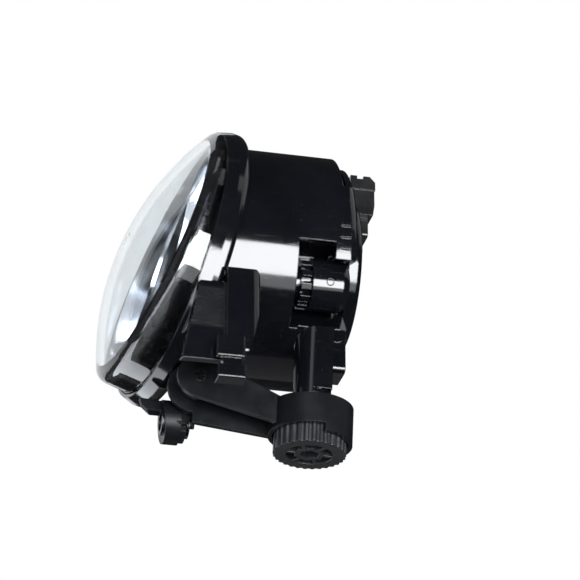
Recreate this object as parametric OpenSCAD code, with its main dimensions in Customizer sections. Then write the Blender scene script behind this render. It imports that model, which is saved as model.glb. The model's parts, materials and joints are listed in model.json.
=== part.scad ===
// Round front fog light: glass lens, moulded housing and a hinged bracket with a
// hand-turned aim adjuster. Millimetres, shown as installed: +Z up, lens facing -Y,
// +X towards the outboard side of the vehicle.
// The origin is the centre of the screw hole in the bracket's ear.

/* [Lens] */
// Radius of the lens skirt
lens_r = 48.7; // [48.4:0.1:49]
// Thickness of the lens glass
lens_t = 2.8; // [2.2:0.1:3]
// Height of the crown above the joint with the housing
crown_h = 18.2; // [17.8:0.1:18.8]
// Radius of the crown's sphere
crown_r = 99; // [95:1:104]
// Lean of the crown's axis against the lens axis, in degrees
crown_lean = 6.5; // [5:0.5:7]
// Radius of the edge between the crown and the skirt
crown_edge = 4; // [3.9:0.1:5]
// Lean of the front, top edge backwards, in degrees
front_rake = 11; // [10:0.5:12]
// Sweep of the front towards the outboard side, in degrees
front_sweep = 9; // [8:0.5:10]

/* [Housing] */
// Radius of the front bezel at the joint
bezel_r = 49.7; // [49.5:0.1:50]
// How far the bezel's lip stands out behind the joint
bezel_bulge = 1.4; // [1:0.1:1.8]
// Depth of the bezel from the joint to its rear edge
bezel_depth = 8.6; // [8:0.1:9.4]
// Outer radius of the barrel
barrel_r = 42.1; // [41.6:0.1:42.4]
// Height of the barrel's axis above the lens centre
barrel_up = 1.9; // [1.4:0.1:2.4]
// Place of the rear shoulder
barrel_end = 57; // [56.5:0.1:57.5]
// Wall thickness of the housing
wall = 2.2; // [2:0.1:2.4]

/* [Reflector] */
// Focal length of the reflector
focal = 11; // [10.6:0.1:11.2]
// Place of the filament on the bulb axis
focus_y = 28.5; // [28:0.1:29]

/* [Bulb] */
// Radius of the bulb opening in the rear wall
bulb_bore_r = 10; // [9.8:0.1:10.2]
// Radius of the grip disc on the bulb base
bulb_disc_r = 14.2; // [13.6:0.1:15]
// Radius of the bulb glass
bulb_r = 6; // [5.5:0.1:6.2]

/* [Bracket] */
// Height of the tilt pivot under the lens centre
pivot_down = 53.5; // [53:0.1:54]
// Place of the tilt pivot behind the lens centre
pivot_y = 5.3; // [5:0.1:5.8]
// Width of the arm's channel
arm_w = 12; // [11.8:0.1:12.6]
// Radius of the arm's round front end
arm_end_r = 7.8; // [7.4:0.1:8]
// Radius of the screw hole in the ear's sleeve
ear_hole_r = 3.25; // [3.1:0.05:3.35]

/* [Adjuster] */
// Radius of the knob over its teeth
knob_r = 12.5; // [12:0.1:12.6]
// Number of teeth round the knob
knob_teeth = 30; // [24:2:36]
// Hexagon across its flats in the knob
hex_af = 6; // [5:0.5:6]
// Lean of the adjuster's axis, in degrees
knob_lean = 2.4; // [0:0.1:3]

/* [Hidden] */
$fn = 96;
fit = 0.06;                              // radial clearance of a turning fit
gap = 0.4;                               // space between neighbours that move
far = 200;                               // longer than anything here

joint = [0, -0.8, 0.5];                  // centre of the joint between lens and housing
ear = [5, 0.5, -62.5];                   // the screw hole's centre from the lamp's reference point
ear_r = 7.6;
ear_y = [-4.3, 4.58];                    // front and back faces of the ear, at its top
sleeve_y = [-4.3, 5.3];
flange_t = 0.6;                          // flange on the rear end of the sleeve

arm_x = 20.5;                            // middle of the arm and of the adjuster
arm_t = 2;
cheek_r = arm_end_r + 1.4;               // round end of the arm's inboard cheek
pivot = [arm_x, pivot_y, -pivot_down];
pin_r = 2;

knob_y = 44.4;                           // adjuster axis at the knob's bottom face
knob_z = -76.4;                          // bottom face of the knob
knob_h = 13.4;
shroud_r = 14.5;
shroud_z = [-70.2, -59.4];               // bottom rim and top face of the shroud
shroud_top = 2;                          // thickness of the shroud's top
spindle_r = 2;
spindle_top = -37;
ball_z = -49.5;                          // ball nut's centre
ball_r = 3.4;
ball_gap = 0.5;
// heights along the adjuster's axis are counted from the knob's bottom face
function up(z) = z - knob_z;

axis_z = barrel_up;                      // bulb and barrel axis height
vertex_y = focus_y + focal;
function bowl_r(y) = sqrt(4 * focal * (vertex_y - y));
bowl_t = 2;
bowl_hole_r = 10.5;

vent = [27, 38.5, -15.5];                // root of the vent spigot
vent_r = 9.2;
vent_len = 17.5;
lobe_z = -56;                            // bottom of the adjuster lobe
lobe_r = 6.6;
socket_z = -52;                          // bottom of the ball socket inside the lobe
socket_r = 5.2;

// housing
bulge_w = bezel_depth / 2;               // depth at which the bezel is widest
groove_r = [44.8, 48.5];                 // groove for the lens skirt
vent_from = -10;                         // the barrel is cut back between these angles
vent_to = -53;
rim_y = 49.3;                            // front face of the rim that is left behind the cut
rim_to = -18;                            // angle down to which that rim reaches
pad_x = 46.2;                            // outboard face of the side pad
pad_y = [-14, 10];                       // front end, before the bezel trims it, and rear end
pad_z = [-56.5, -27.5];
pad_t = 3;
pad_root = [12.2, 24, 14.5];             // thicker upper part that joins the pad to the barrel
block_x = 49.4;                          // outboard face of the block behind the pad
block_y = [9.6, 21.6];
block_z = [-54.5, -22.4];
lobe_h = 30;                             // length of the round column over the adjuster
step_y = 52.6;                           // front face of the step in the rear shoulder
step_r = 38.6;                           // radius inside the step
step_from = 23;                          // the step runs between these angles
step_to = 170;
lug_r = 5.2;                             // round end of the lug that hangs on the pivot pin
lug_w = arm_w - 2 * arm_t - 1.2;
ledge_w = 5.5;                           // depth of the ledge that carries the reflector
ledge_r = 43.5;
ledge_screws = [200, 270, 340];
ledge_screw_r = 41.4;
screw_head_r = 1.7;
cover_hole_r = 23;                       // opening behind the bulb
rib_at = [-0.5, -6.3, -12.2];            // angles of the short ribs on the shoulder
rib_y = 52.7;
rib_l = 2.1;                             // between the centres of the round ends
rib_w = 1.8;

// lens
skirt_deep = 12;                         // the dome is drawn on below the joint, then cut
crown_up = 1.2;                          // the crown's axis crosses the joint plane above its centre

// reflector
skirt_r = 37.6;                          // radius where the bowl meets its straight skirt
function bowl_y(r) = vertex_y - r * r / (4 * focal);
bowl_steps = 20;                         // straight pieces along the bowl's curve
shield_foot_y = 22;                      // the shield's rivet, on the bowl's side
flange_r = ledge_r - 0.3;                // flange that lies on the housing's ledge
flange_h = 1.6;
rim_t = 1.2;                             // wall of the rim that stands up from the flange

// bulb shield
shield_r = 9.4;
shield_y = [7, 16];                      // front and rear ends of the bulb shield
foot_t = 0.8;
foot_gap = 0.4;                          // the flat foot clears the curved bowl
foot_front = 4.6;                        // from the rivet to the foot's front end

// rear cover
cover_r = 29.5;
cover_t = 5;
cover_face = barrel_end + cover_t;       // rear face of the cover
hook_at = [-45, 75, 195];                // angles of the cover's snap hooks
tab_at = [0, 120, 240];                  // angles of the bulb's bayonet tabs
tab_turn = 35;                           // turn from locked to free
tab_w = 5;
seal_r = [24, 26.2];

// vent
cap_from = 3.9;                          // the vent cap's mouth, behind the spigot's root

// bracket
skirt_drop = 2.6;                        // rear of the shroud reaches lower
ear_step_y = 1.9;                        // from here back the ear is a little smaller
ear_top_z = -56;
bar_end_x = arm_x - arm_w / 2 + arm_t / 2; // the bar ends inside the arm's inboard cheek
sleeve_r = 4.6;

// adjuster
clip_z = up(shroud_z[1]) + 0.3;          // bottom of the spindle's clip groove
hub_r = 4.7;                             // half the hexagon hub's width across its flats
spoke_w = 1.2;
cell_r = 8;                              // outer radius of the openings between the spokes

// bulb
base_y = 47;                             // front end of the bulb base's bored-in part
disc_t = 1.8;
plug_x = 9;                              // half width of the connector
plug_y = [62.8, 71.9];
plug_z = [24, 39.4];
plug_t = 1.3;
pin_x = 3;
pin_at = 67.2;                           // front face of the connector's pins
tip_y = 19;                              // front end of the bulb glass
glass_back = 48.9;                       // rear end of the bulb glass
lead_x = 2.6;                            // distance of the leads from the axis

// ---------- places ----------

// from the lens centre to the row's origin
module lamp() translate(-ear) children();

// children are drawn with +Z out of the lens, from the joint circle's centre
module front() lamp() translate(joint) rotate([90 - front_rake, 0, front_sweep]) children();

// children are drawn with +Z to the rear, on the barrel's axis
module barrel() lamp() translate([0, 0, axis_z]) rotate([-90, 0, 0]) children();

// children are drawn with +Z up the adjuster's axis, from the knob's bottom face
module adjuster() lamp() translate([arm_x, knob_y, knob_z]) rotate([-knob_lean, 0, 0]) children();

// children are drawn with +Z along +X, from the tilt pivot
module hinge() lamp() translate(pivot) rotate([90, 0, 90]) children();

module ring(ro, ri, h) difference() {
    cylinder(r = ro, h = h);
    translate([0, 0, -1]) cylinder(r = ri, h = h + 2);
}

// box whose four edges along Y are rounded
module soft_box(size, r) translate([r, 0, r]) union() {
    w = size[0] - 2 * r;
    h = size[2] - 2 * r;
    translate([-r, 0, 0]) cube([size[0], size[1], h]);
    translate([0, 0, -r]) cube([w, size[1], size[2]]);
    for (x = [0, w], z = [0, h])
        translate([x, 0, z]) rotate([-90, 0, 0]) cylinder(r = r, h = size[1], $fn = 48);
}

// ---------- housing ----------

// everything behind the joint plane, moved back by d
module behind(d) front() translate([0, 0, -far - d]) cylinder(r = far, h = far);

module bezel() front() rotate_extrude() {
    lip = 2.4;
    r = bezel_r + bezel_bulge;
    polygon([[30, 0], [bezel_r, 0], [r, -bulge_w], [r, lip - bezel_depth],
             [r - lip, -bezel_depth], [30, -bezel_depth]]);
    translate([r - lip, lip - bezel_depth]) circle(r = lip, $fn = 48);
}

// round drum with a rounded rear corner, from y0 to y1
module drum(r, y0, y1, corner) barrel() translate([0, 0, y0]) rotate_extrude() {
    h = y1 - y0;
    polygon([[0, 0], [r, 0], [r, h - corner], [r - corner, h], [0, h]]);
    translate([r - corner, h - corner]) circle(r = corner, $fn = 48);
}

// wedge of the barrel that is cut back around the vent, between two angles below the level
module wedge(ri, y0, grow) barrel() translate([0, 0, y0]) difference() {
    linear_extrude(far) polygon([for (p = [[0, 0], [2 * barrel_r, vent_from + grow],
        [2.6 * barrel_r, (vent_from + vent_to) / 2], [2 * barrel_r, vent_to - grow]])
            p[0] * [cos(p[1]), -sin(p[1])]]);
    translate([0, 0, -1]) cylinder(r = ri, h = far + 2);
}

// what is left of the barrel behind the wedge, above the vent
module rear_rim() barrel() translate([0, 0, rim_y]) difference() {
    linear_extrude(far)
        polygon([[0, 0], for (a = [vent_from + 2, rim_to]) 2 * barrel_r * [cos(a), -sin(a)]]);
    translate([0, 0, -1]) cylinder(r = barrel_r - 2 * wall, h = barrel_end - wall - rim_y + 1);
}

// side lugs: a flat pad beside the bezel and a thicker block behind it
module pad() {
    intersection() {
        lamp() translate([pad_x - pad_t, pad_y[0], pad_z[0]])
            cube([pad_t, pad_y[1] - pad_y[0], pad_z[1] - pad_z[0]]);
        behind(0);
    }
    intersection() {
        lamp() translate([pad_x, pad_y[1], pad_z[1]] - pad_root) cube(pad_root - [0.5, 0, 0]);
        behind(3.4);
    }
}
// block whose outboard upright edge behind and top edge are rounded
module soft_side(size, r) intersection() {
    soft_box(size, r / 2);
    linear_extrude(size[2]) union() {
        square([size[0], size[1] - r]);
        square([size[0] - r, size[1]]);
        translate([size[0] - r, size[1] - r]) circle(r = r, $fn = 48);
    }
}
module block() lamp() intersection() {
    translate([36, block_y[0], block_z[0]])
        soft_side([block_x - 36, block_y[1] - block_y[0], block_z[1] - block_z[0]], 4);
    // side outline: round at the top behind, leaning in towards the bottom
    rotate([90, 0, 90]) linear_extrude(60) {
        polygon([[block_y[0], block_z[0]], [block_y[1] - 5, block_z[0]], [block_y[1] - 2.6, -48],
                 [block_y[1] - 0.6, -38], [block_y[1], -30], [block_y[1], block_z[1] - 4],
                 [block_y[1] - 4, block_z[1]], [block_y[0], block_z[1]]]);
        translate([block_y[1] - 4, block_z[1] - 4]) circle(r = 4, $fn = 48);
    }
}
// flange joining the side lugs to the barrel
module lug_web() intersection() {
    lamp() translate([24, -8, -40]) cube([18, 22, 16]);
    behind(2);
}

module lobe() adjuster() {
    translate([0, 0, up(lobe_z)]) cylinder(r = lobe_r, h = lobe_h);
    translate([-lobe_r, -1, up(lobe_z) + 2]) cube([2 * lobe_r, lobe_r, lobe_h - 2]);
}
// upper part of the barrel's rear end, where the shoulder sits further forward
module upper_step() barrel() translate([0, 0, step_y]) difference() {
    linear_extrude(far) polygon([for (a = [step_from : 21 : step_to]) 2 * barrel_r * [cos(a), -sin(a)],
        [0, 0]]);
    translate([0, 0, -1]) cylinder(r = step_r, h = far + 2);
}
module rear_column() lamp() translate([9, 51.6, -45]) soft_box([13, 5.4, 24], 2);

module pivot_lug() hinge() translate([0, 0, -lug_w / 2]) linear_extrude(lug_w) {
    circle(r = lug_r);
    polygon([[-lug_r, 0], [lug_r, 0], [lug_r + 4, 25], [-lug_r, 25]]);
}

module vent_place() lamp() translate(vent) rotate([-90, 0, 0]) children();
module vent_spigot() vent_place() {
    translate([0, 0, -4]) ring(6, 3, 15);
    ring(7.2, 5, 3.6);
    for (a = [0 : 30 : 330]) rotate(a) translate([6.5, -1.1, 0]) cube([2.3, 2.2, 3.6]);
}

module housing_inside() {
    difference() {
        intersection() {
            barrel() translate([0, 0, -20]) cylinder(r = barrel_r - wall, h = 20 + barrel_end - wall);
            behind(3);
        }
        wedge(20, vent[1] - 2 * wall, 4);
        adjuster() translate([0, 0, up(lobe_z)]) cylinder(r = lobe_r, h = lobe_h + 1);
    }
    front() translate([0, 0, -ledge_w]) cylinder(r = ledge_r, h = 9);
}

module housing_shell() difference() {
    union() {
        bezel();
        intersection() {
            drum(barrel_r, -20, barrel_end, 3);
            behind(bulge_w);
        }
        pad();
        block();
        lug_web();
        lobe();
        rear_column();
    }
    difference() {
        wedge(22, vent[1] - wall, 0);
        rear_rim();
        lamp() translate([12, 39, lobe_z]) cube([arm_x + lobe_r - 11.7, 20, lobe_h - 5]);
    }
    upper_step();
    housing_inside();
    // groove for the lens skirt and its seal
    front() translate([0, 0, -4.5]) ring(groove_r[1], groove_r[0], 10);
    // room for the round end of the bracket's arm
    hinge() translate([0, 0, -arm_w / 2 - 1]) cylinder(r = cheek_r + gap, h = arm_w + 2);
    // seat of the ball socket, open below
    adjuster() translate([0, 0, up(lobe_z) - 4]) cylinder(r = socket_r, h = lobe_h - 4);
    // opening behind the bulb, closed by the rear cover
    barrel() translate([0, 0, 50]) cylinder(r = cover_hole_r, h = 20);
    for (a = ledge_screws) front() rotate(a) translate([ledge_screw_r, 0, -ledge_w - 2.4])
        cylinder(r = 1, h = 6, $fn = 32);
}

// short ribs with round ends on the outboard side of the rear shoulder
module rear_ribs() for (a = rib_at) barrel() rotate(-a) translate([barrel_r - 1, 0, rib_y])
    rotate([0, 90, 0]) linear_extrude(1.7) {
        square([rib_l, rib_w], center = true);
        for (x = [-rib_l / 2, rib_l / 2]) translate([x, 0]) circle(r = rib_w / 2, $fn = 24);
    }

module housing() color([0.05, 0.05, 0.055]) {
    difference() {
        union() {
            housing_shell();
            difference() {
                pivot_lug();
                housing_inside();
            }
        }
        hinge() translate([0, 0, -arm_w]) cylinder(r = pin_r + fit, h = 2 * arm_w);
    }
    vent_spigot();
    rear_ribs();
}

// ---------- lens ----------

// solid under the crown, the skirt and the edge between them, all set in by t
module dome(t) translate([0, crown_up, 0]) rotate([-crown_lean, 0, 0]) {
    sphere_r = crown_r - t;
    edge = crown_edge - t;
    rim = lens_r - crown_edge;               // radius of the circle that the edge's centre runs on
    sphere_z = crown_h - crown_r;
    edge_z = sphere_z + sqrt(pow(crown_r - crown_edge, 2) - rim * rim);
    meet_r = rim * sphere_r / (crown_r - crown_edge);
    meet_z = sphere_z + sqrt(sphere_r * sphere_r - meet_r * meet_r);
    intersection() {
        translate([0, 0, sphere_z]) sphere(r = sphere_r, $fn = 160);
        cylinder(r = meet_r, h = crown_h + 1);
    }
    rotate_extrude() {
        polygon([[0, -skirt_deep], [rim + edge, -skirt_deep], [rim + edge, edge_z], [rim, edge_z],
                 [meet_r, meet_z], [0, meet_z]]);
        translate([rim, edge_z]) circle(r = edge, $fn = 48);
    }
}

module lens() color([0.75, 0.82, 0.88, 0.35]) front() {
    intersection() {
        cylinder(r = far, h = 30);
        difference() {
            dome(0);
            dome(lens_t);
        }
    }
    // tongue that stands in the housing's groove
    translate([0, 0, -3.4]) ring(groove_r[1] - 0.4, lens_r - lens_t, 3.5);
}

module lens_seal() color([0.1, 0.1, 0.1]) front() translate([0, 0, -4.5])
    ring(groove_r[1], groove_r[0], 1.05);

// ---------- reflector ----------

module bowl_solid(t) barrel() rotate_extrude() {
    radii = [for (i = [0 : bowl_steps]) i * skirt_r / bowl_steps];
    polygon(concat([[0, -30]], [for (r = radii) [r + (r > 0 ? t * 0.8 : 0), bowl_y(r) + t]],
                   [[skirt_r + t * 0.8, -30]]));
}

module rivet_hole() rotate([0, 90, 0]) translate([0, 0, -5]) cylinder(r = 1.2, h = 14, $fn = 32);
module at_bowl(y, a) barrel() rotate(a) translate([bowl_r(y), 0, y])
    rotate([0, -atan(sqrt(focal / (vertex_y - y))), 0]) children();

// rim that stands up from the flange into the lens, cut away round the screws' heads
module reflector_rim() front() intersection() {
    difference() {
        translate([0, 0, -ledge_w]) ring(flange_r, flange_r - rim_t, 25);
        for (a = ledge_screws) rotate(a) translate([ledge_screw_r, 0, flange_h - ledge_w])
            cylinder(r = screw_head_r + 0.4, h = 2.4, $fn = 48);
    }
    dome(lens_t + 0.8);
}

module reflector() color([0.85, 0.86, 0.88]) difference() {
    union() {
        intersection() {
            bowl_solid(bowl_t);
            behind(4.2);
        }
        front() translate([0, 0, -ledge_w]) cylinder(r = flange_r, h = flange_h);
        reflector_rim();
    }
    bowl_solid(0);
    barrel() cylinder(r = bowl_hole_r, h = 60);
    at_bowl(shield_foot_y, 90) rivet_hole();
    for (a = ledge_screws) front() rotate(a) translate([ledge_screw_r, 0, -ledge_w - 3])
        cylinder(r = 1.1, h = 8, $fn = 32);
}

module reflector_screws() color([0.7, 0.7, 0.72]) for (a = ledge_screws)
    front() rotate(a) translate([ledge_screw_r, 0, -ledge_w - 2.3]) difference() {
        union() {
            cylinder(r = 1, h = 4, $fn = 32);
            translate([0, 0, 3.9]) cylinder(r = screw_head_r, h = 1.3, $fn = 32);
        }
        for (t = [0, 90]) rotate(t) translate([-1.2, -0.25, 4.5]) cube([2.4, 0.5, 1]);
    }

// ---------- bulb shield ----------

module bulb_shield() color([0.35, 0.35, 0.37]) {
    barrel() translate([0, 0, shield_y[0]]) difference() {
        cylinder(r = shield_r, h = shield_y[1] - shield_y[0]);
        translate([0, 0, 0.8]) cylinder(r = shield_r - 0.8, h = 20);
    }
    // leg from the cap to the front end of the foot
    barrel() rotate(90) {
        lean = atan(sqrt(focal / (vertex_y - shield_foot_y)));
        foot_r = bowl_r(shield_foot_y) + foot_front * sin(lean) - foot_gap;
        foot_end_y = shield_foot_y - foot_front * cos(lean) - foot_gap / 2;
        leg_y = shield_y[1] - 3;
        rise = foot_end_y - leg_y;
        run = foot_r - shield_r + 0.4;
        translate([shield_r - 0.7, -2, leg_y]) rotate([0, -atan(rise / run), 0])
            cube([sqrt(rise * rise + run * run), 4, foot_t]);
    }
    at_bowl(shield_foot_y, 90) difference() {
        translate([-foot_gap - foot_t, -3, -foot_front - 0.6]) cube([foot_t, 6, foot_front + 3.4]);
        rivet_hole();
    }
}

module shield_rivet() color([0.8, 0.8, 0.8]) at_bowl(shield_foot_y, 90) rotate([0, 90, 0]) {
    translate([0, 0, -foot_gap - foot_t - 0.87]) cylinder(r = 2, h = 0.85, $fn = 32);
    translate([0, 0, -foot_gap - foot_t - 0.1])
        cylinder(r = 1.05, h = foot_gap + foot_t + bowl_t + 0.9, $fn = 32);
    translate([0, 0, bowl_t + 0.7]) cylinder(r = 1.9, h = 0.9, $fn = 32);
}

// ---------- rear cover ----------

module cover_seal_ring(z0, h) barrel() translate([0, 0, z0]) ring(seal_r[1], seal_r[0], h);

module rear_cover() color([0.06, 0.06, 0.065]) difference() {
    union() {
        drum(cover_r, barrel_end + 0.05, cover_face, 2.2);
        barrel() translate([0, 0, barrel_end - wall - 4]) cylinder(r = cover_hole_r - 0.15, h = wall + 5);
        // snap hooks in the opening's edge
        for (a = hook_at) barrel() rotate(a) translate([cover_hole_r - 3, -3.5, barrel_end - wall - 3.6])
            cube([4.4, 7, 3.4]);
    }
    barrel() translate([0, 0, barrel_end - wall - 5]) difference() {
        cylinder(r = cover_hole_r - 2, h = wall + 3);
        cylinder(r = bulb_bore_r + 2.2, h = wall + 3);
    }
    barrel() translate([0, 0, 40]) cylinder(r = bulb_bore_r, h = 40);
    // ways in for the bulb's tabs
    for (a = tab_at) barrel() rotate(a - tab_turn) translate([0, -tab_w / 2 - 0.5, 40])
        cube([12.1, tab_w + 1, 40]);
    cover_seal_ring(barrel_end - 1, 2.2);
}

module cover_seal() color([0.12, 0.12, 0.12]) cover_seal_ring(barrel_end + 0.02, 1.15);

// ---------- vent ----------

module vent_cap() color([0.04, 0.04, 0.045]) vent_place() {
    difference() {
        translate([0, 0, cap_from]) rotate_extrude() {
            h = vent_len - cap_from;
            polygon([[0, 0], [vent_r, 0], [vent_r, h - 3.5], [vent_r - 3.5, h], [0, h]]);
            translate([vent_r - 3.5, h - 3.5]) circle(r = 3.5, $fn = 48);
        }
        cylinder(r = vent_r - 1.3, h = vent_len - 2);
    }
    // ribs that grip the spigot and leave an air path between them
    for (a = [45 : 90 : 315]) rotate(a) translate([6.02, -0.8, cap_from + 1]) cube([2, 1.6, 5]);
}

module vent_membrane() color([0.9, 0.9, 0.88])
    vent_place() translate([0, 0, 11.02]) cylinder(r = 5.6, h = 0.4);

// ---------- side clip ----------

module side_clip() color([0.09, 0.09, 0.095]) lamp() {
    translate([block_x + 0.02, 6, -57.2]) soft_side([2.6, 9.5, 7.6], 1);
    translate([pad_x + 0.4, 8, -60.4]) cube([4.6, 6.4, 4]);
    translate([45.4, 6.2, -64.8]) soft_side([6.6, 9.8, 4.8], 1.2);
}

// ---------- bracket ----------

module arm_profile() {
    circle(r = arm_end_r);
    polygon([[0.4, arm_end_r], [30, -5.9], [30, -15.4], [-1.9, 0.3 - arm_end_r]]);
}
module arm() hinge() difference() {
    union() {
        translate([0, 0, -arm_w / 2]) linear_extrude(arm_w) arm_profile();
        // the inboard cheek's round end is larger
        translate([0, 0, -arm_w / 2]) cylinder(r = cheek_r, h = arm_t);
        // and its lower edge runs straight from the ear to the shroud
        translate([0, 0, -arm_w / 2]) linear_extrude(arm_t)
            polygon([[-0.7, -3.5], [-0.7, -12.9], [27.7, -15.9], [27.7, -6.5]]);
    }
    // channel open below and at the round end
    translate([0, 0, arm_t - arm_w / 2]) linear_extrude(arm_w - 2 * arm_t) union() {
        translate([-20, -30]) square([28.5, 60]);
        polygon([[8, 2.2], [26, -6.2], [26, -30], [8, -30]]);
    }
    translate([0, 0, -far / 2]) cylinder(r = pin_r, h = far);
}

module shroud() adjuster() {
    difference() {
        union() {
            translate([0, 0, up(shroud_z[0])]) cylinder(r = shroud_r, h = shroud_z[1] - shroud_z[0]);
            intersection() {
                translate([0, 0, up(shroud_z[0]) - skirt_drop]) cylinder(r = shroud_r, h = skirt_drop + 1);
                translate([-20, 2, -10]) cube([40, 40, 40]);
            }
        }
        cylinder(r = spindle_r + fit, h = 40);
    }
}

// outlines seen from the front, with the height turned downwards
module circle_at_ear(r) translate([ear[0], -ear[2]]) circle(r = r);
module ear_outline(r) {
    circle_at_ear(r);
    translate([ear[0] - r, -ear_top_z]) square([2 * r, ear_top_z - ear[2]]);
}
module ear_body() lamp() {
    intersection() {
        rotate([-90, 0, 0]) translate([0, 0, -20]) linear_extrude(40) circle_at_ear(ear_r);
        // side outline, thinner towards the bottom
        rotate([90, 0, 90]) translate([0, 0, -10]) linear_extrude(30)
            polygon([[ear_y[0], -54], [ear_y[0] + 1.1, -71], [ear_step_y, -71], [ear_step_y, -54]]);
    }
    difference() {
        intersection() {
            rotate([-90, 0, 0]) translate([0, 0, -20]) linear_extrude(40) ear_outline(ear_r - 0.8);
            rotate([90, 0, 90]) translate([0, 0, -10]) linear_extrude(30)
                polygon([[ear_step_y - 1, -56], [ear_step_y - 1, -71],
                         [ear_y[1] - 0.8, -71], [ear_y[1], -56]]);
        }
        // slot in the outboard side
        translate([ear[0] + 4.9, ear_step_y + 0.1, -68]) cube([10, 2.6, 2.6]);
    }
    // knuckle above the slot
    translate([ear[0], ear_step_y + 0.2, ear[2] - 0.2]) rotate([0, 90, 0])
        cylinder(r = 2.9, h = ear_r - 0.3);
    // fin in front of the ear
    translate([2, 0, 0]) rotate([90, 0, 90]) linear_extrude(2.4)
        polygon([[-11.4, -53.8], [-10.6, -56.4], [-3, -63.2], [-3, -54.4]]);
    // bar between the ear and the arm
    translate([-1, ear_step_y, -61.6]) cube([bar_end_x + 1, 6.6, 4.6]);
}
module knob_room() adjuster() translate([0, 0, -1])
    cylinder(r = knob_r + gap, h = up(shroud_z[1]) + 1 - shroud_top);

module bracket() color([0.06, 0.06, 0.065]) difference() {
    union() {
        arm();
        shroud();
        ear_body();
    }
    lamp() translate([ear[0], 20, ear[2]]) rotate([90, 0, 0]) cylinder(r = sleeve_r, h = 40);
    knob_room();
}

module mount_sleeve() color([0.1, 0.1, 0.105])
    lamp() translate([ear[0], sleeve_y[0], ear[2]]) rotate([-90, 0, 0]) difference() {
        union() {
            cylinder(r = sleeve_r, h = sleeve_y[1] - sleeve_y[0]);
            translate([0, 0, sleeve_y[1] - sleeve_y[0] - flange_t]) cylinder(r = 5.1, h = flange_t);
        }
        translate([0, 0, -1]) cylinder(r = ear_hole_r, h = 20);
    }

module pivot_pin() color([0.1, 0.1, 0.105]) hinge() {
    translate([0, 0, -arm_w / 2 - 0.4]) cylinder(r = pin_r, h = arm_w + 0.3, $fn = 64);
    translate([0, 0, -arm_w / 2 - 1.12]) cylinder(r = 3.2, h = 1.1, $fn = 64);
}

// ---------- adjuster ----------

module ball_socket() color([0.85, 0.84, 0.8]) adjuster() difference() {
    translate([0, 0, up(socket_z)]) cylinder(r = socket_r - 0.02, h = 7);
    translate([0, 0, up(ball_z)]) sphere(r = ball_r + ball_gap, $fn = 64);
    cylinder(r = spindle_r + 1, h = 60);
    // keyways for the nut's pegs
    translate([-socket_r + 0.3, -1.3, up(socket_z) - 1]) cube([2 * socket_r - 0.6, 2.6, 6.4]);
}

module ball_nut() color([0.8, 0.79, 0.75]) adjuster() difference() {
    translate([0, 0, up(ball_z)]) union() {
        sphere(r = ball_r, $fn = 64);
        translate([-4.4, 0, 0]) rotate([0, 90, 0]) cylinder(r = 0.8, h = 8.8, $fn = 32);
    }
    cylinder(r = spindle_r + fit, h = 60);
}

module adjuster_spindle() color([0.6, 0.6, 0.62]) adjuster() difference() {
    translate([0, 0, 6]) cylinder(r = spindle_r, h = up(spindle_top) - 6);
    translate([0, 0, clip_z]) ring(spindle_r + 1, spindle_r - 0.5, 0.9);
}

module spindle_clip() color([0.5, 0.5, 0.52]) adjuster() translate([0, 0, clip_z + 0.05]) difference() {
    cylinder(r = 4.2, h = 0.8);
    translate([0, 0, -1]) cylinder(r = spindle_r - 0.48, h = 3);
    translate([0, -1.3, -1]) cube([10, 2.6, 3]);
}

module knob_cells(h) difference() {
    ring(cell_r, 0.01, h);
    translate([0, 0, -1]) cylinder(r = hub_r / cos(30), h = h + 2, $fn = 6);
    for (a = [30 : 60 : 330]) rotate(a) translate([0, -spoke_w / 2, -1]) cube([cell_r + 1, spoke_w, h + 2]);
}
module adjuster_knob() color([0.08, 0.08, 0.085]) adjuster() difference() {
    union() {
        cylinder(r = knob_r, h = 9.5);
        cylinder(r = knob_r - 0.9, h = knob_h);
    }
    for (i = [0 : knob_teeth - 1]) rotate(i * 360 / knob_teeth) translate([knob_r + 0.35, 0, -1])
        cylinder(r = 0.95, h = 9, $fn = 24);
    translate([0, 0, -1]) knob_cells(9);
    translate([0, 0, -1]) cylinder(r = hex_af / 2 / cos(30), h = 6, $fn = 6);
    translate([0, 0, 6]) cylinder(r = spindle_r, h = 20);
}

// ---------- bulb ----------

module bulb_base() color([0.5, 0.5, 0.52]) {
    barrel() difference() {
        union() {
            translate([0, 0, 44]) cylinder(r = 7.6, h = 5);
            translate([0, 0, base_y]) cylinder(r = bulb_bore_r - fit, h = cover_face - base_y + 1);
            translate([0, 0, cover_face + 0.4]) cylinder(r = bulb_disc_r, h = disc_t);
            for (a = tab_at) rotate(a) translate([0, -tab_w / 2, base_y + 1]) cube([11.7, tab_w, 1.8]);
        }
        // groove for the seal ring
        translate([0, 0, barrel_end - 1]) ring(bulb_bore_r + 1, bulb_bore_r - 1.4, 1.9);
        // seat of the glass
        translate([0, 0, 40]) cylinder(r = bulb_r + 0.02, h = 9);
    }
    lamp() connector_shell();
}

module pin_blades(z0, h) for (x = [-pin_x, pin_x]) translate([x - 0.9, pin_at, z0]) cube([1.8, 0.8, h]);
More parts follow.
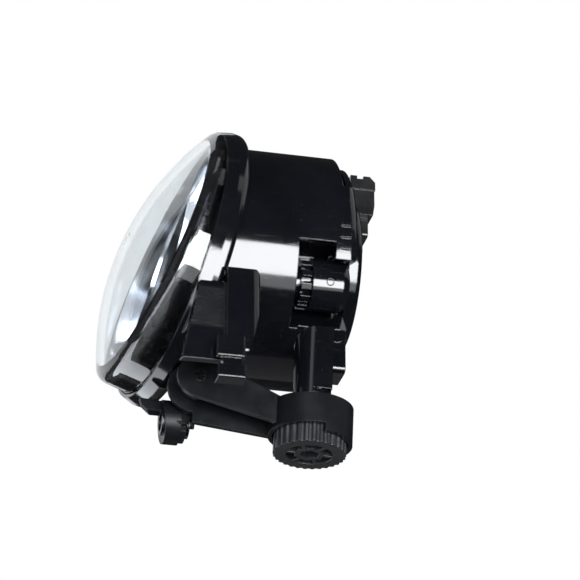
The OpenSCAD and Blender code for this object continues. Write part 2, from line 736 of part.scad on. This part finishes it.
// side outline of the connector: collar round the mouth and a chamfer behind
module plug_side(grow) polygon([
    [plug_y[0] - grow, plug_z[0]], [plug_y[1] - 0.6 + grow, plug_z[0]], [plug_y[1] + grow, plug_z[0] + 4],
    [plug_y[1] + grow, plug_z[1] - 2.2], [plug_y[1] - 2 + grow, plug_z[1]], [plug_y[0] - grow, plug_z[1]]]);
module connector_shell() difference() {
    union() {
        translate([-plug_x, 0, 0]) rotate([90, 0, 90]) linear_extrude(2 * plug_x) plug_side(-0.3);
        intersection() {
            translate([-plug_x - 0.3, 0, 0]) rotate([90, 0, 90])
                linear_extrude(2 * plug_x + 0.6) plug_side(0);
            translate([-20, 60, 34]) cube([40, 20, 20]);
        }
        // neck down to the disc
        translate([-6.5, 63, 10]) cube([13, 4.6, 10]);
        translate([-6.5, 62.8, 16.6]) soft_box([13, 6.9, 8], 1.2);
    }
    translate([-plug_x + plug_t, plug_y[0] + plug_t, plug_z[0] + 2]) cube([2 * (plug_x - plug_t), 6.5, 30]);
    // notch for the plug's latch
    translate([-plug_x - 1, 65.2, 38.2]) cube([2 * plug_x + 2, 2.4, 3]);
    pin_blades(plug_z[0] - 4, 8);
}

module connector_pins() color([0.75, 0.72, 0.6]) lamp() pin_blades(plug_z[0] - 4, 14);

module bulb_seal() color([0.3, 0.12, 0.08]) barrel() translate([0, 0, barrel_end - 0.95])
    ring(bulb_bore_r - 0.02, bulb_bore_r - 1.4, 1.8);

module glass_outline(r, y0) barrel() {
    translate([0, 0, y0]) cylinder(r = r, h = glass_back - y0);
    translate([0, 0, y0]) sphere(r = r, $fn = 64);
}
module bulb_glass() color([0.9, 0.93, 0.95, 0.35]) difference() {
    glass_outline(bulb_r, tip_y + bulb_r);
    difference() {
        glass_outline(bulb_r - 1, tip_y + bulb_r);
        barrel() translate([0, 0, glass_back - 3]) cylinder(r = 10, h = 10);
    }
}

module bulb_filament() color([0.5, 0.5, 0.5]) barrel() translate([0, 0, focus_y - 2.5]) ring(0.7, 0.35, 5);

module bulb_leads() color([0.6, 0.6, 0.6]) barrel() for (s = [-1, 1]) {
    end = focus_y + s * 2.8;
    translate([s * lead_x, 0, end - 0.3]) cylinder(r = 0.35, h = glass_back - 3.1 - end, $fn = 24);
    translate([min(0, s * lead_x), -0.35, end - 0.3]) cube([lead_x, 0.7, 0.55]);
}

bracket();
mount_sleeve();
pivot_pin();
housing();
lens();
lens_seal();
reflector();
reflector_screws();
bulb_shield();
shield_rivet();
rear_cover();
cover_seal();
side_clip();
vent_cap();
vent_membrane();
ball_socket();
adjuster_knob();
adjuster_spindle();
spindle_clip();
ball_nut();
bulb_base();
bulb_seal();
bulb_glass();
bulb_filament();
bulb_leads();
connector_pins();
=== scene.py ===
import json
import math

import bmesh
import bpy
from mathutils import Matrix, Vector


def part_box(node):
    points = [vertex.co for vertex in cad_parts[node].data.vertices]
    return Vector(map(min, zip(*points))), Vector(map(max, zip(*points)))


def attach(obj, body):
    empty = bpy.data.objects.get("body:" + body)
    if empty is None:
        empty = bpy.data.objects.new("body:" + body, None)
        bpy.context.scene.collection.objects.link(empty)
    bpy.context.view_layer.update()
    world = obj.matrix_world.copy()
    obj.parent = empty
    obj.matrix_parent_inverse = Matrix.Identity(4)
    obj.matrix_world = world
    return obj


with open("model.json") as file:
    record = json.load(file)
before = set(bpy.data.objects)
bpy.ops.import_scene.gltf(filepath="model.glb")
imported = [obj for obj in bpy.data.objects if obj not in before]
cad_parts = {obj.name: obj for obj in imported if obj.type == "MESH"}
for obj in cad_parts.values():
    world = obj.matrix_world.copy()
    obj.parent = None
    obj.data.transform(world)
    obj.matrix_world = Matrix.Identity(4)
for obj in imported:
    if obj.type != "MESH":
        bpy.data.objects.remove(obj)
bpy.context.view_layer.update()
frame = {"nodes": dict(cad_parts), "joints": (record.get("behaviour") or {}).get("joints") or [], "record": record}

MM = 0.001
JOINTS = {joint["name"]: joint for joint in frame["joints"]}
PIVOT = Vector(JOINTS["aim_tilt"]["pos_m"])
# the lens centre, which the CAD model is drawn from
LAMP_CENTRE = PIVOT + Vector((-20.5, -5.3, 53.5)) * MM


# ---------- material tools ----------

class Look:
    """A node material. Coordinates are the row frame's, in metres."""

    def __init__(self, name, colour, roughness, **sockets):
        self.material = bpy.data.materials.new(name)
        self.material.use_nodes = True
        self.tree = self.material.node_tree
        self.shader = self.tree.nodes["Principled BSDF"]
        self.place = self.node("ShaderNodeTexCoord").outputs["Object"]
        self.shader.inputs["Base Color"].default_value = (*colour, 1)
        self.shader.inputs["Roughness"].default_value = roughness
        for socket, value in sockets.items():
            self.shader.inputs[socket.replace("_", " ")].default_value = value

    def node(self, kind, **values):
        made = self.tree.nodes.new(kind)
        for key, value in values.items():
            setattr(made, key, value)
        return made

    def join(self, source, target):
        self.tree.links.new(source, target)

    def stretched(self, factors):
        mapping = self.node("ShaderNodeMapping")
        mapping.inputs["Scale"].default_value = factors
        self.join(self.place, mapping.inputs["Vector"])
        return mapping.outputs["Vector"]

    def noise(self, size, detail=2.0, place=None, distortion=0.0):
        """Soft noise whose blobs are about size metres across."""
        made = self.node("ShaderNodeTexNoise")
        made.inputs["Scale"].default_value = 1 / size
        made.inputs["Detail"].default_value = detail
        made.inputs["Distortion"].default_value = distortion
        self.join(place or self.place, made.inputs["Vector"])
        return made.outputs["Fac"]

    def specks(self, spacing, radius):
        """1 in small round specks, 0 elsewhere."""
        made = self.node("ShaderNodeTexVoronoi")
        made.inputs["Scale"].default_value = 1 / spacing
        self.join(self.place, made.inputs["Vector"])
        rim = radius / spacing
        soft_rim = 0.6 * rim
        return self.ranged(made.outputs["Distance"], source=(rim, soft_rim))

    def ranged(self, value, source, target=(0, 1)):
        """Maps the source range to the target range, and holds the ends."""
        made = self.node("ShaderNodeMapRange")
        for side, (low, high) in (("From", source), ("To", target)):
            made.inputs[side + " Min"].default_value = low
            made.inputs[side + " Max"].default_value = high
        self.join(value, made.inputs["Value"])
        return made.outputs["Result"]

    def combined(self, operation, a, b):
        made = self.node("ShaderNodeMath", operation=operation)
        for socket, value in zip(made.inputs, (a, b)):
            if isinstance(value, (int, float)):
                socket.default_value = value
            else:
                self.join(value, socket)
        return made.outputs["Value"]

    def within(self, low, high, edge):
        """1 inside the box from low to high, falling to 0 over edge metres each way."""
        split = self.node("ShaderNodeSeparateXYZ")
        self.join(self.place, split.inputs["Vector"])
        inside = 1.0
        for axis, start, end in zip("XYZ", low, high):
            above = self.ranged(split.outputs[axis], source=(start - edge, start + edge))
            below = self.ranged(split.outputs[axis], source=(end - edge, end + edge), target=(1, 0))
            inside = self.combined("MULTIPLY", inside, self.combined("MULTIPLY", above, below))
        return inside

    def colour(self, value, low, high):
        """Base colour that goes from low to high as value goes from 0 to 1."""
        ramp = self.node("ShaderNodeMix", data_type="RGBA")
        ramp.inputs["A"].default_value = (*low, 1)
        ramp.inputs["B"].default_value = (*high, 1)
        self.join(value, ramp.inputs["Factor"])
        self.join(ramp.outputs["Result"], self.shader.inputs["Base Color"])

    def tinted(self, value, tint):
        """Mixes tint over what already feeds the base colour."""
        ramp = self.node("ShaderNodeMix", data_type="RGBA")
        before = self.shader.inputs["Base Color"].links[0].from_socket
        self.join(before, ramp.inputs["A"])
        ramp.inputs["B"].default_value = (*tint, 1)
        self.join(value, ramp.inputs["Factor"])
        self.join(ramp.outputs["Result"], self.shader.inputs["Base Color"])

    def roughness(self, noise, low, high):
        """Uneven gloss: the middle of the noise's range spread from low to high."""
        uneven = self.ranged(noise, source=(0.3, 0.7), target=(low, high))
        self.join(uneven, self.shader.inputs["Roughness"])

    def rougher(self, value, by):
        """Adds up to by to what already feeds the roughness."""
        before = self.shader.inputs["Roughness"].links[0].from_socket
        more = self.combined("MULTIPLY", value, by)
        self.join(self.combined("ADD", before, more), self.shader.inputs["Roughness"])

    def bump(self, height, depth):
        """Adds relief of depth metres to what is there."""
        made = self.node("ShaderNodeBump")
        made.inputs["Distance"].default_value = depth
        links = self.shader.inputs["Normal"].links
        if links:
            self.join(links[0].from_socket, made.inputs["Normal"])
        self.join(height, made.inputs["Height"])
        self.join(made.outputs["Normal"], self.shader.inputs["Normal"])

    def round_edges(self, radius):
        """Softens the look of sharp edges."""
        made = self.node("ShaderNodeBevel", samples=4)
        made.inputs["Radius"].default_value = radius
        self.join(made.outputs["Normal"], self.shader.inputs["Normal"])


def scaled(colour, factor):
    return [factor * channel for channel in colour]


def plastic(name, colour, roughness, grain, grain_depth, edge):
    """Moulded plastic: slow colour change, uneven gloss, fine grain and rounded edges."""
    look = Look(name, colour, roughness)
    look.round_edges(edge)
    slow = look.noise(size=0.018, detail=3)
    shade = look.ranged(slow, source=(0.35, 0.65))
    look.colour(shade, scaled(colour, 0.8), scaled(colour, 1.25))
    look.roughness(look.noise(size=0.007, detail=4), 0.8 * roughness, 1.25 * roughness)
    look.bump(look.noise(size=grain, detail=3), grain_depth)
    return look


def metal(name, colour, roughness, grain, factors):
    """Metal whose fine lines run along the axis that has the smallest factor."""
    look = Look(name, colour, roughness, Metallic=1.0)
    look.round_edges(0.0002)
    lines = look.noise(size=grain, detail=4, place=look.stretched(factors))
    shade = look.ranged(look.noise(size=0.004, detail=3), source=(0.35, 0.65))
    look.colour(shade, scaled(colour, 0.82), colour)
    look.roughness(lines, 0.75 * roughness, 1.3 * roughness)
    look.bump(lines, depth=0.000008)
    return look


# ---------- materials ----------

# the side pad's outboard face, which has an eroded tool texture: mm from the tilt pivot
PAD_LOW = (25.3, -19, 9)
PAD_HIGH = (26.2, 4.5, 24)


def gloss_black():
    """The housing, the rear cover, the vent cap and the clip."""
    look = plastic("housing_gloss_black", colour=(0.0013, 0.0014, 0.002), roughness=0.09,
                   grain=0.0005, grain_depth=0.000002, edge=0.0006)
    # long shallow waves of the moulded skin
    look.bump(look.noise(size=0.011, detail=1), depth=0.00002)
    # dust specks and wiping marks
    dust = look.specks(spacing=0.0026, radius=0.00008)
    look.tinted(dust, (0.1, 0.1, 0.105))
    wiped = look.noise(size=0.0012, detail=5, place=look.stretched((1, 0.12, 1)), distortion=0.3)
    look.rougher(look.ranged(wiped, source=(0.58, 0.75)), by=0.12)
    # the pad's texture
    low = PIVOT + Vector(PAD_LOW) * MM
    high = PIVOT + Vector(PAD_HIGH) * MM
    pad = look.within(low, high, edge=0.0006)
    pits = look.ranged(look.noise(size=0.0007, detail=4), source=(0.4, 0.65))
    look.rougher(pad, by=0.22)
    look.bump(look.combined("MULTIPLY", pad, pits), depth=0.00003)
    return look


def satin_black():
    """The bracket, with scuffs along its length."""
    look = plastic("bracket_satin_black", colour=(0.0018, 0.0019, 0.0024), roughness=0.34,
                   grain=0.00035, grain_depth=0.00002, edge=0.0004)
    look.shader.inputs["Specular IOR Level"].default_value = 0.12
    scuffs = look.noise(size=0.002, detail=6, place=look.stretched((1, 0.25, 0.4)), distortion=0.5)
    look.tinted(look.ranged(scuffs, source=(0.6, 0.78), target=(0, 0.5)), (0.005, 0.0052, 0.006))
    return look


def knob_grey():
    """The hand knob, paler where fingers have worn it."""
    look = plastic("knob_dark_grey", colour=(0.004, 0.0042, 0.005), roughness=0.34,
                   grain=0.0003, grain_depth=0.00002, edge=0.0003)
    worn = look.noise(size=0.0016, detail=5)
    look.tinted(look.ranged(worn, source=(0.6, 0.75), target=(0, 0.5)), (0.009, 0.009, 0.01))
    return look


def bulb_black():
    return plastic("bulb_base_black", colour=(0.003, 0.003, 0.0034), roughness=0.28,
                   grain=0.0004, grain_depth=0.00001, edge=0.0004)


def enamel_black():
    return plastic("edge_enamel_black", colour=(0.003, 0.003, 0.004), roughness=0.25,
                   grain=0.0006, grain_depth=0.000005, edge=0.0001)


def shield_paint():
    return plastic("shield_dark_paint", colour=(0.09, 0.09, 0.095), roughness=0.5,
                   grain=0.0004, grain_depth=0.00002, edge=0.0002)


def white_acetal():
    """The ball nut and its socket, slightly translucent."""
    look = plastic("acetal_white", colour=(0.74, 0.72, 0.66), roughness=0.38,
                   grain=0.0006, grain_depth=0.00001, edge=0.0003)
    look.shader.inputs["Subsurface Weight"].default_value = 0.15
    look.shader.inputs["Subsurface Radius"].default_value = (0.001, 0.001, 0.0008)
    return look


def membrane_felt():
    look = plastic("membrane_felt", colour=(0.8, 0.8, 0.78), roughness=0.85,
                   grain=0.00025, grain_depth=0.00006, edge=0.0001)
    look.shader.inputs["Sheen Weight"].default_value = 0.3
    return look


def rubber(name, colour):
    """Matt rubber with a pale bloom."""
    look = plastic(name, colour, roughness=0.68, grain=0.0005, grain_depth=0.00002, edge=0.0002)
    bloom = look.ranged(look.noise(size=0.003, detail=5), source=(0.55, 0.75), target=(0, 0.35))
    look.tinted(bloom, [channel + 0.06 for channel in colour])
    return look


def clear_glass():
    """The lens, with the faint waves of pressed glass."""
    look = Look("lens_glass_clear", (0.96, 0.985, 1.0), roughness=0.0,
                IOR=1.52, Transmission_Weight=1.0)
    look.bump(look.noise(size=0.014, detail=1), depth=0.00002)
    return look


def quartz_glass():
    look = Look("bulb_glass_quartz", (0.98, 0.98, 1.0), roughness=0.0,
                IOR=1.46, Transmission_Weight=1.0)
    look.bump(look.noise(size=0.004, detail=1), depth=0.00001)
    return look


def mirror_coat():
    """The reflector's metal coat, with the small waves of the plastic under it."""
    look = Look("reflector_bright", (0.55, 0.565, 0.6), roughness=0.12, Metallic=1.0)
    look.roughness(look.noise(size=0.009, detail=3), 0.09, 0.17)
    look.bump(look.noise(size=0.01, detail=2), depth=0.00003)
    return look


ALONG_Y = (1, 0.2, 1)
ALONG_Z = (1, 1, 0.2)
NO_LINES = (1, 1, 1)

LOOKS = {
    "black_plastic": gloss_black(),
    "bracket_plastic": satin_black(),
    "knob_plastic": knob_grey(),
    "bulb_plastic": bulb_black(),
    "white_plastic": white_acetal(),
    "lens_glass": clear_glass(),
    "bulb_glass": quartz_glass(),
    "mirror_coat": mirror_coat(),
    "steel": metal("zinc_plated_steel", (0.62, 0.62, 0.64), 0.32, 0.0006, ALONG_Y),
    "filament": metal("tungsten_wire", (0.42, 0.42, 0.44), 0.4, 0.0003, NO_LINES),
    "black_steel": metal("black_zinc_steel", (0.05, 0.05, 0.053), 0.3, 0.0006, ALONG_Y),
    "tin": metal("tinned_brass", (0.72, 0.7, 0.64), 0.3, 0.0006, ALONG_Z),
    "seal_rubber": rubber("seal_rubber_black", (0.02, 0.02, 0.021)),
    "red_rubber": rubber("seal_rubber_red", (0.32, 0.07, 0.03)),
    "membrane": membrane_felt(),
    "shield_steel": shield_paint(),
}
for part in frame["record"]["subparts"]:
    slots = frame["nodes"][part["node"]].data.materials
    slots.clear()
    slots.append(LOOKS[part["material_slot"]].material)


# ---------- pieces ----------

# the plane where the lens meets the bezel, as in the CAD model: it leans back and sweeps outboard
RAKE, SWEEP = math.radians(11), math.radians(9)
JOINT_CENTRE = LAMP_CENTRE + Vector((0, -0.8, 0.5)) * MM
FRONT = (Matrix.Translation(JOINT_CENTRE) @ Matrix.Rotation(SWEEP, 4, "Z")
         @ Matrix.Rotation(math.pi / 2 - RAKE, 4, "X"))
# the lens in mm, as in the CAD model: its crown leans and sits a little high on the joint plane
CROWN_LEAN, CROWN_UP = math.radians(6.5), 1.2
CROWN_R, CROWN_H = 99, 18.2
EDGE_R = 4
SKIRT_R = 48.7
GLASS_T = 2.8
# black enamel on the lens, mm: it is fused this far into the glass and stands this far off it
ENAMEL_SUNK, ENAMEL_THICK = 0.1, 0.2
# it runs from below the joint plane, where it is cut off, up to these radii on the crown
ENAMEL_FROM_H = -8
ENAMEL_CROWN_R = (45, 44, 43.1)
# the enamel round the tongue that stands in the housing's groove, mm from the joint plane
TONGUE_TOP, TONGUE_TIP = 0.2, -3.4
TONGUE_OUT_R = 48
TONGUE_TIP_FILM = 0.04
# the mould's gate mark on the vent cap: (radius, height) points of a small ring, mm
GATE_RING = [(1.0, -0.25), (1.45, -0.25), (1.4, 0.06), (1.3, 0.12), (1.15, 0.12), (1.05, 0.06)]
GATE_FORWARD = -0.8
GATE_DOWN = math.radians(16)


def lathe(name, outline, place, steps=180, cut=None):
    """Closed outline of (radius, height) points in mm, turned about the local Z axis.
    cut is a point and a direction: what lies behind that plane is taken away."""
    bm = bmesh.new()
    rings = []
    for step in range(steps):
        turn = 2 * math.pi * step / steps
        across, along = math.cos(turn), math.sin(turn)
        rings.append([bm.verts.new((r * across * MM, r * along * MM, h * MM)) for r, h in outline])
    for a, b in zip(rings, rings[1:] + rings[:1]):
        for i in range(len(outline)):
            j = (i + 1) % len(outline)
            bm.faces.new((a[i], b[i], b[j], a[j]))
    bmesh.ops.recalc_face_normals(bm, faces=bm.faces)
    bm.transform(place)
    if cut:
        point, direction = cut
        everything = bm.verts[:] + bm.edges[:] + bm.faces[:]
        bmesh.ops.bisect_plane(bm, geom=everything, plane_co=point, plane_no=direction,
                               clear_inner=True)
        rim = [edge for edge in bm.edges if edge.is_boundary]
        bmesh.ops.triangle_fill(bm, edges=rim, use_beauty=True)
        bmesh.ops.recalc_face_normals(bm, faces=bm.faces)
    mesh = bpy.data.meshes.new(name)
    bm.to_mesh(mesh)
    bm.free()
    mesh.shade_smooth()
    made = bpy.data.objects.new(name, mesh)
    bpy.context.scene.collection.objects.link(made)
    return made


def finish_piece(made, look):
    """Gives a piece of the lamp its material."""
    made.data.materials.append(look.material)
    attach(made, "lamp")


def inner_outline(inset):
    """Points up the inside of the skirt, round its edge and onto the crown, inset mm off the glass."""
    rim = SKIRT_R - EDGE_R
    sphere_z = CROWN_H - CROWN_R
    edge_z = sphere_z + math.sqrt((CROWN_R - EDGE_R) ** 2 - rim ** 2)
    edge = EDGE_R - GLASS_T - inset
    top_turn = math.acos(rim / (CROWN_R - EDGE_R))
    points = [(rim + edge, ENAMEL_FROM_H)]
    edge_steps = 6
    for step in range(edge_steps + 1):
        turn = top_turn * step / edge_steps
        points.append((rim + edge * math.cos(turn), edge_z + edge * math.sin(turn)))
    sphere_r = CROWN_R - GLASS_T - inset
    for radius in ENAMEL_CROWN_R:
        points.append((radius, sphere_z + math.sqrt(sphere_r ** 2 - radius ** 2)))
    return points


def edge_enamel():
    """Black enamel fused to the inside of the lens's skirt, which hides the seal behind it."""
    in_glass, off_glass = inner_outline(-ENAMEL_SUNK), inner_outline(ENAMEL_THICK)
    place = (FRONT @ Matrix.Translation((0, CROWN_UP * MM, 0))
             @ Matrix.Rotation(-CROWN_LEAN, 4, "X"))
    joint_plane = (JOINT_CENTRE, FRONT.to_3x3() @ Vector((0, 0, 1)))
    edge = lathe("lens_edge_enamel", in_glass + off_glass[::-1], place, cut=joint_plane)
    # the same enamel round the tongue: down its inner side and under its tip
    tongue_r = SKIRT_R - GLASS_T
    deep, shallow = TONGUE_TIP - TONGUE_TIP_FILM, TONGUE_TIP + ENAMEL_SUNK
    tongue = lathe("lens_tongue_enamel",
                   [(tongue_r - ENAMEL_THICK, TONGUE_TOP), (tongue_r + ENAMEL_SUNK, TONGUE_TOP),
                    (tongue_r + ENAMEL_SUNK, shallow), (TONGUE_OUT_R, shallow),
                    (TONGUE_OUT_R, deep), (tongue_r - ENAMEL_THICK, deep)], FRONT)
    look = enamel_black()
    for made in (edge, tongue):
        finish_piece(made, look)


def gate_mark():
    """Small raised ring where the vent cap's mould was filled, on its outboard side."""
    low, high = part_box("vent_cap")
    centre = (Vector(low) + Vector(high)) / 2
    cap_r = (high[2] - low[2]) / 2
    seat = centre + Vector((0, GATE_FORWARD, 0)) * MM
    place = (Matrix.Translation(seat) @ Matrix.Rotation(math.pi / 2 + GATE_DOWN, 4, "Y")
             @ Matrix.Translation((0, 0, cap_r)))
    made = lathe("vent_cap_gate_mark", GATE_RING, place, steps=48)
    finish_piece(made, LOOKS["black_plastic"])


edge_enamel()
gate_mark()


# ---------- studio ----------

AZIMUTH, ELEVATION = math.radians(76.9), math.radians(-26.1)
VIEW_DISTANCE = 1.0
LENS_MM, SENSOR_MM = 175.66, 36
CLIP_NEAR, CLIP_FAR = 0.05, 20
AIM = PIVOT + Vector((-14.76, 35.81, 45.89)) * MM
FLOOR_HALF, FLOOR_DROP = 8.0, 0.75
# what the gloss black parts reflect beside the softboxes: a dim, slightly blue room
ROOM_COLOUR, ROOM_STRENGTH = (0.93, 0.96, 1.0), 0.03

# name, azimuth, elevation, distance, width, height, radiance, tint
SOFTBOXES = [
    # low side panel: the bright band on the barrel, the bezel and the vent cap
    ("side_panel", 97, -15, 1.1, 1.26, 0.55, 24, (0.96, 0.98, 1.0)),
    ("side_panel_lower", 104, -35, 1.1, 0.8, 0.22, 3, (0.96, 0.98, 1.0)),
    # four strips that follow one another along the rounded edge of the lens
    ("edge_strip_upper", 72, 28, 1.2, 0.3, 0.7, 1.4, (0.8, 0.9, 1.0)),
    ("edge_strip_side", 64, -1, 1.2, 0.26, 0.3, 9, (0.84, 0.92, 1.0)),
    ("edge_strip_lower", 30, -37, 1.2, 1.3, 0.36, 6, (0.88, 0.94, 1.0)),
    ("edge_strip_low", -50, -35, 1.2, 1.2, 0.8, 4.5, (0.9, 0.95, 1.0)),
    # the light that is seen through the dome of the lens
    ("far_panel", -68, 30, 1.3, 1.3, 1.2, 0.95, (0.95, 0.98, 1.0)),
    # weaker light from the back, the front, below and above
    ("rear_panel", 165, 40, 1.5, 1.6, 0.9, 0.8, (1, 1, 1)),
    ("front_panel", 10, 10, 1.5, 1.2, 1.2, 0.25, (1, 1, 1)),
    ("bounce", -105, -42, 1.2, 1.4, 0.8, 0.15, (1, 1, 1)),
    ("top_panel", 60, 75, 1.3, 0.4, 0.4, 1.2, (1, 1, 1)),
]


def toward(azimuth, elevation):
    """Unit vector from the object: azimuth 0 is in front of the lens, 90 degrees is outboard."""
    level = math.cos(elevation)
    return Vector((math.sin(azimuth) * level, -math.cos(azimuth) * level, math.sin(elevation)))


def camera():
    """Camera at the photo's viewing angle, low on the outboard side."""
    back = toward(AZIMUTH, ELEVATION)
    right = Vector((math.cos(AZIMUTH), math.sin(AZIMUTH), 0))
    up = back.cross(right)
    data = bpy.data.cameras.new("camera")
    data.lens = LENS_MM
    data.sensor_width = SENSOR_MM
    data.clip_start = CLIP_NEAR
    data.clip_end = CLIP_FAR
    made = bpy.data.objects.new("camera", data)
    made.matrix_world = Matrix((right, up, back)).transposed().to_4x4()
    made.location = AIM + back * VIEW_DISTANCE
    bpy.context.scene.collection.objects.link(made)
    bpy.context.scene.camera = made


def softbox(name, azimuth, elevation, distance, width, height, radiance, tint):
    """Rectangular light that faces the object; angles in degrees, radiance is its brightness as seen."""
    data = bpy.data.lights.new(name, "AREA")
    data.shape = "RECTANGLE"
    data.size = width
    data.size_y = height
    data.energy = radiance * width * height * math.pi
    data.color = tint
    made = bpy.data.objects.new(name, data)
    direction = toward(math.radians(azimuth), math.radians(elevation))
    made.location = LAMP_CENTRE + direction * distance
    made.rotation_mode = "QUATERNION"
    made.rotation_quaternion = direction.to_track_quat("Z", "Y")
    made.visible_camera = False
    bpy.context.scene.collection.objects.link(made)


def surroundings():
    """White to the eye and to matt surfaces, dark in reflections."""
    world = bpy.data.worlds.new("studio")
    world.use_nodes = True
    bpy.context.scene.world = world
    tree = world.node_tree
    room = tree.nodes["Background"]
    room.inputs["Color"].default_value = (*ROOM_COLOUR, 1)
    room.inputs["Strength"].default_value = ROOM_STRENGTH
    white = tree.nodes.new("ShaderNodeBackground")
    white.inputs["Color"].default_value = (1, 1, 1, 1)
    path = tree.nodes.new("ShaderNodeLightPath")
    plain = tree.nodes.new("ShaderNodeMath")
    plain.operation = "MAXIMUM"
    mix = tree.nodes.new("ShaderNodeMixShader")
    tree.links.new(path.outputs["Is Camera Ray"], plain.inputs[0])
    tree.links.new(path.outputs["Is Diffuse Ray"], plain.inputs[1])
    tree.links.new(plain.outputs[0], mix.inputs[0])
    tree.links.new(room.outputs[0], mix.inputs[1])
    tree.links.new(white.outputs[0], mix.inputs[2])
    tree.links.new(mix.outputs[0], tree.nodes["World Output"].inputs["Surface"])


def floor():
    """Plain pale floor well below the object, not seen in reflections."""
    mesh = bpy.data.meshes.new("floor")
    corners = [(-1, -1), (1, -1), (1, 1), (-1, 1)]
    points = [(x * FLOOR_HALF, y * FLOOR_HALF, -FLOOR_DROP) for x, y in corners]
    mesh.from_pydata(points, [], [(0, 1, 2, 3)])
    made = bpy.data.objects.new("floor", mesh)
    look = Look("floor_pale", (0.82, 0.82, 0.82), roughness=0.7)
    look.colour(look.noise(size=0.6, detail=2), (0.8, 0.8, 0.8), (0.84, 0.84, 0.84))
    mesh.materials.append(look.material)
    made.visible_glossy = False
    bpy.context.scene.collection.objects.link(made)


camera()
surroundings()
floor()
for box in SOFTBOXES:
    softbox(*box)
bpy.context.scene.view_settings.view_transform = "Standard"
